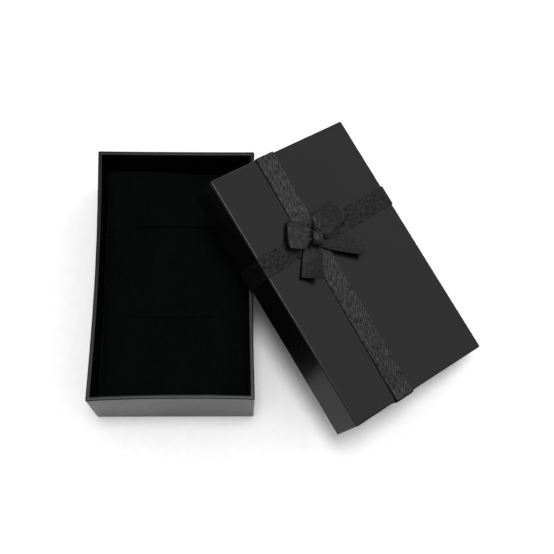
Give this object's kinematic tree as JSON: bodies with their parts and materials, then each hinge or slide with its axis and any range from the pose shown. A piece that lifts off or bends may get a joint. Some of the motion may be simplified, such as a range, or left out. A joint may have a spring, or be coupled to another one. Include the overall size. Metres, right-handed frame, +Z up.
{
  "type": "jewelry gift box",
  "caption": "Small rigid set-up box with a velvet ring pad and a shallow lift-off lid tied with satin ribbon and a bow, shown open with the lid leaning on the tray.",
  "frame": {"origin": "centre of the tray's underside, on the surface the box stands on", "axes": "+Z up, +Y along the tray's length towards its back, +X to the side where the lid leans"},
  "size_m": [0.1146, 0.0944, 0.0425],
  "materials": {
    "wrap_paper": "satin",
    "greyboard": "matte",
    "stay_tape": "matte",
    "liner_paper": "matte",
    "pad_foam": "matte",
    "velvet": "matte",
    "satin_ribbon": "satin",
    "bow_ribbon": "satin",
    "glue": "satin"
  },
  "bodies": {
    "tray": {"tray_board": "greyboard", "tray_corner_stay_1": "stay_tape", "tray_corner_stay_2": "stay_tape", "tray_corner_stay_3": "stay_tape", "tray_corner_stay_4": "stay_tape", "tray_wrap": "wrap_paper", "tray_liner": "liner_paper"},
    "insert": {"pad_foam": "pad_foam", "pad_velvet": "velvet"},
    "lid": {"lid_board": "greyboard", "lid_corner_stay_1": "stay_tape", "lid_corner_stay_2": "stay_tape", "lid_corner_stay_3": "stay_tape", "lid_corner_stay_4": "stay_tape", "lid_wrap": "wrap_paper", "lid_liner": "liner_paper", "ribbon_long": "satin_ribbon", "ribbon_cross": "satin_ribbon", "bow_glue": "glue", "bow_tails": "bow_ribbon", "bow_loops": "bow_ribbon", "bow_knot": "bow_ribbon"}
  },
  "joints": [
    {"name": "lid_lift", "type": "slide", "parent": "tray", "child": "lid", "axis": [0, 0, 1], "range_m": [0, 0.06]},
    {"name": "insert_lift", "type": "slide", "parent": "tray", "child": "insert", "axis": [0, 0, 1], "range_m": [0, 0.0115]}
  ]
}
